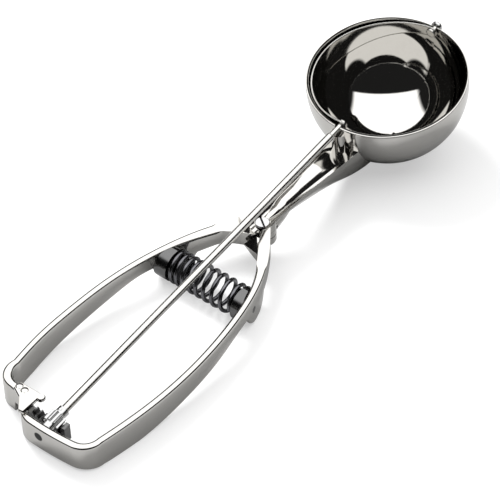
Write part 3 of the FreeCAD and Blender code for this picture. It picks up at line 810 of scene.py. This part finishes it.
@dataclass
class LeverBow(Bow):
    """The left bow, which turns into the short rear arm under the cap."""

    outer_r: float = 110.9
    inner_r: float = 107.7
    outer_y: float = 19.9
    inner_y: float = 17.9
    end_y: float = 11.2
    turn_bulge: float = -0.25
    rear_points: int = 16
    arm_side: float = 18.1
    arm_front: float = -90.0
    arm_low: float = -6.75

    def plan(self) -> tuple[Array, Array]:
        """Draws the band, the rear corner and the rear arm.

        Returns:
            The outer and inner points.
        """
        outer, inner = self.band()
        outer_turn = arc(outer[-1], rear_point(self.outer_r, self.outer_y), self.turn_bulge, self.turn_points)
        inner_turn = arc(inner[-1], rear_point(self.inner_r, self.inner_y), self.turn_bulge, self.turn_points)
        outer_arm = round_pivot(self.outer_r, self.outer_y, self.end_y, self.rear_points)
        inner_arm = round_pivot(self.inner_r, self.inner_y, self.end_y, self.rear_points)
        return np.vstack([outer, outer_turn, outer_arm]), np.vstack([inner, inner_turn, inner_arm])

    def lift(self, points: Array) -> Array:
        """The underside's height, cut up to the rack's top on the rear arm.

        Args:
            points: plan points, one row each.

        Returns:
            The heights.
        """
        low = Depths().low(points[:, 0])
        on_arm = (points[:, 1] < self.arm_side) & (points[:, 0] < self.arm_front)
        return np.where(on_arm, self.arm_low, low)


@dataclass(frozen=True)
class Web:
    """The web beside the knuckle's slot, whose top is ground down as a slope from the bow's top.

    Its corners at the slot are those near x and y and above a height, in handle millimetres.
    """

    node: str = "fixed_handle"
    x: float = -7.5
    y: float = 2.1
    reach_x: float = 1.2
    reach_y: float = 0.6
    above: float = -0.2
    upright: float = 0.9
    drop: float = 4.0

    def grind(self, corners: Array) -> None:
        """Lowers the corners at the slot and gives their upright triangles the new plane's normal.

        Args:
            corners: triangles as corner rows of place and normal in metres, changed in place.
        """
        local = (corners[..., :3] - HANDLE.origin) @ np.stack([HANDLE.x, HANDLE.y, HANDLE.z], 1) / MM
        beside = np.abs(local[..., 0] - self.x) < self.reach_x
        level = np.abs(local[..., 1] - self.y) < self.reach_y
        at_slot = beside & level & (local[..., 2] > self.above)
        up = corners[..., 3:] @ HANDLE.z > self.upright
        corners[..., :3] -= np.where(at_slot, self.drop * MM, 0.0)[..., None] * HANDLE.z
        moved = at_slot.any(1) & up.all(1)
        tri = corners[moved]
        plane = np.cross(tri[:, 1, :3] - tri[:, 0, :3], tri[:, 2, :3] - tri[:, 0, :3])
        plane /= np.linalg.norm(plane, axis=1, keepdims=True)
        tri[..., 3:] = plane[:, None]
        corners[moved] = tri
        LOG.info("web: %d corners lowered, %d triangles", at_slot.sum(), moved.sum())


def solid_corners(name: str) -> Array:
    """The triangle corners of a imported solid, with the solid's own normals.

    Args:
        name: the solid's node.

    Returns:
        Three corners for each triangle, each a row of place in metres and normal.
    """
    mesh = FRAME["nodes"][name].data
    order = np.zeros(len(mesh.loops), int)
    mesh.loops.foreach_get("vertex_index", order)
    normals = np.zeros(3 * len(mesh.loops))
    mesh.corner_normals.foreach_get("vector", normals)
    return np.concatenate([solid_points(name)[order], normals.reshape(-1, 3)], 1).reshape(-1, 3, 6)


def cut_off(corners: Array, origin: Array, ahead: Array) -> Array:
    """Cuts off what lies ahead of a plane and closes the cut.

    In a triangle that crosses the plane, a corner beyond it is replaced by the points where the
    triangle's sides meet it, with the normals mixed by the same shares. The first of these triangles
    have one corner kept and the second two. A fan about the middle of the outline closes the cut.

    Args:
        corners: triangles as corner rows of place and normal.
        origin: a point of the plane.
        ahead: the direction that is cut away.

    Returns:
        The triangles that are kept, and the fan.
    """
    depth = -(corners[..., :3] - origin) @ ahead
    inside = (depth >= 0.0).sum(1)
    kept = [corners[inside == 3]]
    rim = []
    for count, lone_kept in ((1, True), (2, False)):
        pick = inside == count
        tri, d = corners[pick], depth[pick]
        lone = np.argmax((d >= 0.0) == lone_kept, axis=1)
        turn = (lone[:, None] + np.arange(3)) % 3
        tri = np.take_along_axis(tri, turn[..., None], 1)
        d = np.take_along_axis(d, turn, 1)
        share = d[:, :1] / (d[:, :1] - d[:, 1:])
        cut = tri[:, :1] + (tri[:, 1:] - tri[:, :1]) * share[..., None]
        if lone_kept:
            kept.append(np.stack([tri[:, 0], cut[:, 0], cut[:, 1]], 1))
            rim.append(cut[:, ::-1])
        else:
            kept.append(np.stack([cut[:, 0], tri[:, 1], tri[:, 2]], 1))
            kept.append(np.stack([cut[:, 0], tri[:, 2], cut[:, 1]], 1))
            rim.append(cut)
    edge = np.concatenate(rim)
    edge[..., 3:] = ahead
    centre = np.broadcast_to(edge.reshape(-1, 6).mean(0), (len(edge), 1, 6))
    kept.append(np.concatenate([centre, edge], 1))
    return np.concatenate(kept)


def weld(corners: Array) -> tuple[Array, Array, Array]:
    """Makes one point of all the corners that lie in the same small cell.

    Args:
        corners: triangles as corner rows of place and normal in metres.

    Returns:
        The points, three point numbers for each triangle, and which triangles keep three points.
    """
    spots = corners[..., :3].reshape(-1, 3)
    cells = np.round(spots / (WELD_CELL * MM)).astype(np.int64)
    _, first, group = np.unique(cells, axis=0, return_index=True, return_inverse=True)
    faces = group.reshape(-1, 3)
    whole = (faces[:, 0] != faces[:, 1]) & (faces[:, 1] != faces[:, 2]) & (faces[:, 0] != faces[:, 2])
    return spots[first], faces, whole


def keep_front(node: str, name: str, body: Body, point: Array, way: Array, finish: Steel) -> bpy.types.Object:
    """Copies the part of a solid that lies in front of an upright cut, with the solid's own normals.

    Args:
        node: the solid's node.
        name: the new piece's name.
        body: the body that it rides on.
        point: a point of the cut in handle millimetres, in plan.
        way: the plan direction that is cut away.
        finish: its finish.

    Returns:
        The new object.
    """
    ahead = HANDLE.turn(np.array([way[0], way[1], 0.0]))
    origin = HANDLE.place(np.array([point[0], point[1], 0.0]))
    corners = cut_off(solid_corners(node), origin, ahead)
    web = Web()
    if node == web.node:
        web.grind(corners)
    points, faces, whole = weld(corners)
    piece = new_piece(name, points, faces[whole].tolist(), body, finish)
    piece.data.normals_split_custom_set(corners[whole][..., 3:].reshape(-1, 3).tolist())
    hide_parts(node)
    return piece


@dataclass
class Bows:
    """Both bows and the parts of the castings in front of them."""

    fixed_start: float = 0.14
    lever_start: float = 0.075

    def build(self) -> None:
        """Builds the bows, then keeps the fronts of the two castings up to the bows' first sections."""
        fixed = FixedBow("right_bow", "fixed_handle", Body.FIXED, 1,
                         ((0.85, -4.4, 3.5), (8.1, -10.6, 3.9), (17.6, -16.4, 3.1), (34.6, -21.8, 2.75),
                          (53.2, -24.3, 2.75), (71.1, -24.1, 2.75), (86.3, -21.9, 2.75), (92.5, -20.6, 2.75)),
                         start=self.fixed_start)
        lever = LeverBow("left_bow", "lever_handle", Body.LEVER, -1,
                         ((1.7, 9.4, 4.4), (8.9, 14.5, 4.4), (20.5, 20.4, 3.2), (31.8, 24.3, 2.75),
                          (44.9, 27.1, 2.75), (60.2, 28.4, 2.75), (73.8, 28.4, 2.75), (84.8, 27.0, 2.75)),
                         start=self.lever_start)
        for bow, front in ((fixed, "neck"), (lever, "lever_lug")):
            bow.build(POLISHED_BOW)
            outer, inner = bow.plan()
            middle = (outer + inner) / 2
            square = inner[0] - outer[0]
            way = np.array([-square[1], square[0]])
            way *= np.sign(way @ (middle[1] - middle[0])) / np.linalg.norm(way)
            keep_front(bow.node, front, bow.body, middle[0], way, POLISHED_BOW)


@dataclass
class Groove:
    """The shallow polished floor of the spoon-shaped groove on the neck.

    Each row gives a place along the neck, the groove's half width and bottom there, and the height of
    the floor's edge.
    """

    rows: tuple[tuple[float, float, float, float], ...] = (
        (2.6, 3.4, 1.0, 1.08), (5.0, 3.5, 1.0, 1.25), (8.0, 3.5, 0.95, 1.75), (12.0, 3.5, 0.88, 2.3),
        (20.0, 3.5, 0.7, 2.4), (32.0, 4.0, -0.6, 2.2), (39.0, 4.6, -1.4, 2.2), (43.2, 4.6, -1.4, 2.2))
    sag: float = 0.75
    sag_share: float = 0.8
    least_rise: float = 0.05
    lap: float = 0.06
    end_gap: float = 0.02
    round_from: float = 38.7
    round_r: float = 4.5
    length_steps: int = 90
    width_steps: int = 24
    thickness: float = 0.0003

    def build(self) -> None:
        """Lays the floor between the groove's walls.

        Across, the height is the edge's height less a sag times one minus the square of the share of
        the half width. The half width is that of the round groove at the edge's height plus a lap into
        its walls, and closes as a circle towards the bowl.
        """
        table = np.array(self.rows)
        end = self.round_from + self.round_r
        share = 0.5 - 0.5 * np.cos(np.linspace(0.0, math.pi, self.length_steps))
        x = table[0, 0] + (end - self.end_gap - table[0, 0]) * share
        half, bottom, edge = (np.interp(x, table[:, 0], table[:, k]) for k in (1, 2, 3))
        rise = np.clip(edge - bottom, self.least_rise, half)
        wide = np.sqrt(half ** 2 - (half - rise) ** 2) + self.lap
        past = np.clip(x - self.round_from, 0.0, None) / self.round_r
        wide = wide * np.sqrt(np.clip(1.0 - past ** 2, 0.0, 1.0))
        sag = np.minimum(self.sag, self.sag_share * rise)
        across = np.linspace(-1.0, 1.0, self.width_steps)
        height = edge[:, None] - sag[:, None] * (1.0 - across[None, :] ** 2)
        along = np.broadcast_to(x[:, None], height.shape)
        points = HANDLE.place(np.stack([along, wide[:, None] * across[None, :], height], -1))
        faces = grid_faces(self.length_steps, self.width_steps, closed=False)
        piece = new_piece("neck_groove", points, faces.tolist(), Body.FIXED, POLISHED_BOW)
        wall = piece.modifiers.new("wall", "SOLIDIFY")
        wall.thickness = self.thickness
        wall.offset = -1.0


@dataclass
class Spring:
    """The wound compression spring between the bows, with closed ends ground flat."""

    x: float = -28.6
    z: float = -6.1
    right: float = -13.4
    left: float = 15.5
    coil: float = 5.5
    wire: float = 0.75
    turns: float = 8.5
    tight: float = 2.2
    gap: float = 0.05
    blend_inset: float = 2.0
    sides: int = 20
    steps: int = 64

    def path(self) -> tuple[Array, Array]:
        """The wire's centre line.

        The angle runs evenly from the lever's end. The height falls by the tight pitch on the first
        turn and by more and more after it: tight * turn + growth * turn ** 2.

        Returns:
            The centre points and their outward directions, one row each, in handle millimetres.
        """
        count = int(self.turns * self.steps) + 1
        turn = np.linspace(0.0, self.turns, count)
        length = self.left - self.right - 2.0 * (self.wire + self.gap)
        growth = (length - self.tight * self.turns) / self.turns ** 2
        height = self.left - self.wire - self.gap - self.tight * turn - growth * turn ** 2
        angle = 2.0 * math.pi * turn
        out = np.stack([np.cos(angle), np.zeros(count), np.sin(angle)], 1)
        centre = np.stack([self.x + self.coil * out[:, 0], height, self.z + self.coil * out[:, 2]], 1)
        return centre, out

    def build(self) -> None:
        """Sweeps a round section along the wire and closes its ends.

        A point of the section at angle a lies the wire's radius from the centre line, along out * cos a
        plus side * sin a.
        """
        centre, out = self.path()
        along = np.gradient(centre, axis=0)
        along /= np.linalg.norm(along, axis=1, keepdims=True)
        side = np.cross(along, out)
        around = np.linspace(0.0, 2.0 * math.pi, self.sides, endpoint=False)
        ring = out[:, None] * np.cos(around)[None, :, None] + side[:, None] * np.sin(around)[None, :, None]
        tube = centre[:, None] + self.wire * ring
        points = np.concatenate([tube.reshape(-1, 3), centre[:1], centre[-1:]])
        rows = len(centre)
        here = np.arange(self.sides)
        beside = (here + 1) % self.sides
        last_row = (rows - 1) * self.sides
        first, last = np.full(self.sides, rows * self.sides), np.full(self.sides, rows * self.sides + 1)
        caps = np.stack([first, beside, here, last, last_row + here, last_row + beside], 1).reshape(-1, 3)
        faces = grid_faces(rows, self.sides).tolist() + caps.tolist()
        piece = new_mesh("spring_wire", HANDLE.place(points), faces, WIRE)
        start = HANDLE.place(np.array([self.x, self.right + self.blend_inset, self.z]))
        end = HANDLE.place(np.array([self.x, self.left - self.blend_inset, self.z]))
        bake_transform(piece)
        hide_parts("spring")


@dataclass
class Studio:
    """The white table, the dark room with its ceiling light, the lamp and the camera.

    eye is in handle millimetres, forward and up are directions of the handle frame, and lamp_place is
    in the model's metres. sky_from and sky_to are the ceiling light's edges, in degrees up from the
    level on the far side.
    """

    eye: tuple[float, float, float] = (-524.94, -441.77, 691.93)
    forward: tuple[float, float, float] = (0.53096, 0.45304, -0.71613)
    up: tuple[float, float, float] = (0.56876, 0.43594, 0.69748)
    lens: float = 201.46
    sensor: float = 36.0
    clip: tuple[float, float] = (0.05, 20.0)
    floor_size: float = 3.0
    floor_albedo: float = 0.46
    floor_glow: float = 0.50
    floor_share: float = 0.03
    sky: float = 2.1
    sky_from: float = 38.5
    sky_to: float = 120.0
    sky_side: float = 0.74
    side_blur: float = 0.04
    sky_blur: float = 0.02
    gloom: float = 0.02
    lamp_power: float = 16.0
    lamp_size: float = 0.5
    lamp_place: tuple[float, float, float] = (0.25, 0.75, 0.80)

    def camera(self) -> None:
        """Sets the camera at the photograph's viewing angle."""
        data = bpy.data.cameras.new("camera")
        data.lens = self.lens
        data.sensor_width = self.sensor
        data.clip_start, data.clip_end = self.clip
        camera = bpy.data.objects.new("camera", data)
        forward = Vector(HANDLE.turn(np.array(self.forward))).normalized()
        up = Vector(HANDLE.turn(np.array(self.up)))
        right = forward.cross(up).normalized()
        up = right.cross(forward)
        turn = Matrix((right, up, -forward)).transposed().to_4x4()
        camera.matrix_world = Matrix.Translation(HANDLE.place(np.array(self.eye))) @ turn
        bpy.context.scene.collection.objects.link(camera)
        bpy.context.scene.camera = camera

    def floor(self) -> None:
        """Lays a flat table that keeps the scoop's shadow.

        Its glow makes it look white to the camera. Reflections get only a small share of the glow.
        """
        half = 0.5 * self.floor_size
        corners = np.array([[-1, -1, 0], [1, -1, 0], [1, 1, 0], [-1, 1, 0]], float) * half
        mesh = bpy.data.meshes.new("table")
        mesh.from_pydata(corners.tolist(), [], [[0, 1, 2, 3]])
        material = bpy.data.materials.new("white_table")
        material.use_nodes = True
        nodes = Nodes(material.node_tree)
        paint = nodes.add("BsdfDiffuse")
        nodes.feed(paint, Color=(self.floor_albedo,) * 3 + (1.0,))
        glow = nodes.add("Emission")
        path = nodes.add("LightPath")
        seen = nodes.maths("MULTIPLY_ADD", path.outputs["Is Glossy Ray"], self.floor_share,
                           path.outputs["Is Camera Ray"])
        nodes.feed(glow, Color=(1.0, 1.0, 1.0, 1.0), Strength=nodes.maths("MULTIPLY", seen, self.floor_glow))
        both = nodes.add("AddShader")
        nodes.feed(both, s0=paint.outputs[0], s1=glow.outputs[0])
        nodes.feed(nodes.add("OutputMaterial"), Surface=both.outputs[0])
        mesh.materials.append(material)
        table = bpy.data.objects.new("table", mesh)
        bpy.context.scene.collection.objects.link(table)

    def world(self) -> None:
        """Makes a dark room with one long ceiling light, which reaches from the far side past overhead.

        A direction is bright where it lies above the light's far edge and in front of its near edge,
        which are planes through the sideways axis, and where it doesn't point too far sideways. To the
        camera itself the room is white, and reflections see it dark.
        """
        world = bpy.data.worlds.new("dark_room")
        bpy.context.scene.world = world
        world.use_nodes = True
        nodes = Nodes(world.node_tree)
        look = nodes.add("TexCoord").outputs["Generated"]
        level = Vector((self.forward[0], self.forward[1], 0.0)).normalized()
        above = Vector((0.0, 0.0, 1.0))
        far, near = math.radians(self.sky_from), math.radians(self.sky_to)
        planes = (above * math.cos(far) - level * math.sin(far),
                  level * math.sin(near) - above * math.cos(near))
        inside = []
        for plane in planes:
            side = nodes.add("VectorMath", operation="DOT_PRODUCT")
            nodes.feed(side, s0=look, s1=tuple(plane))
            inside.append(nodes.step(side.outputs["Value"], -self.sky_blur, self.sky_blur))
        across = nodes.add("VectorMath", operation="DOT_PRODUCT")
        nodes.feed(across, s0=look, s1=tuple(level.cross(above)))
        wide = nodes.maths("ABSOLUTE", across.outputs["Value"])
        wide = nodes.step(wide, self.sky_side - self.side_blur, self.sky_side + self.side_blur, 1.0, 0.0)
        lit = nodes.maths("MULTIPLY", nodes.maths("MULTIPLY", inside[0], inside[1]), wide)
        room = nodes.maths("MULTIPLY_ADD", lit, self.sky, self.gloom)
        path = nodes.add("LightPath")
        white = nodes.maths("MAXIMUM", room, path.outputs["Is Camera Ray"])
        back = nodes.add("Background")
        nodes.feed(back, Color=(1.0, 1.0, 1.0, 1.0), Strength=white)
        nodes.feed(nodes.add("OutputWorld"), Surface=back.outputs[0])

    def lamp(self) -> None:
        """One large soft lamp from the lever's side, which casts the soft shadow to the lower right."""
        data = bpy.data.lights.new("soft_box", "AREA")
        data.shape = "DISK"
        data.size = self.lamp_size
        data.energy = self.lamp_power
        lamp = bpy.data.objects.new("soft_box", data)
        place = Vector(self.lamp_place)
        turn = (-place).to_track_quat("-Z", "Y").to_matrix().to_4x4()
        lamp.visible_glossy = False
        lamp.matrix_world = Matrix.Translation(place) @ turn
        bpy.context.scene.collection.objects.link(lamp)

    def build(self) -> None:
        """Makes the whole set."""
        self.camera()
        self.floor()
        self.world()
        self.lamp()


@dataclass
class CarriedOver:
    """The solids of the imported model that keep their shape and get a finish."""

    polished: tuple[str, ...] = ("drive_rod", "scraper", "scraper_clench", "far_pin", "pivot_nut")
    flush: tuple[str, ...] = ("guide_cap", "rack_rivets")
    # Painted shade: solids whose steel is painted dark for the shade they sit in
    dark: tuple[str, ...] = ("rack", "fixed_spring_seat", "lever_spring_seat")
    bowl: tuple[str, ...] = ("bowl",)
    turned: tuple[str, ...] = ("pinion", "pinion_pin", "rear_spacer", "far_washer", "pivot_washer")
    screws: tuple[str, ...] = ("pivot_screw",)

    def build(self) -> None:
        """Puts each group's material into its solids' slots."""
        groups = ((self.polished, POLISHED), (self.bowl, POLISHED_BOWL), (self.dark, PAINTED_SHADE_STEEL),
                  (self.flush, FLUSH), (self.turned, TURNED), (self.screws, SCREW))
        for names, finish in groups:
            material = finish.build()
            for name in names:
                solid = FRAME["nodes"][name]
                for place in solid.material_slots:
                    place.material = material
                LOG.info("%s: %s", name, finish.name)


def main() -> None:
    """Builds the set, dresses the solids and adds the pieces, in order."""
    logging.basicConfig(level=logging.INFO, format="%(name)s %(message)s")
    bpy.context.scene.view_settings.view_transform = "Standard"
    Studio().build()
    CarriedOver().build()
    Bows().build()
    Groove().build()
    Spring().build()


if __name__ == "__main__":
    main()
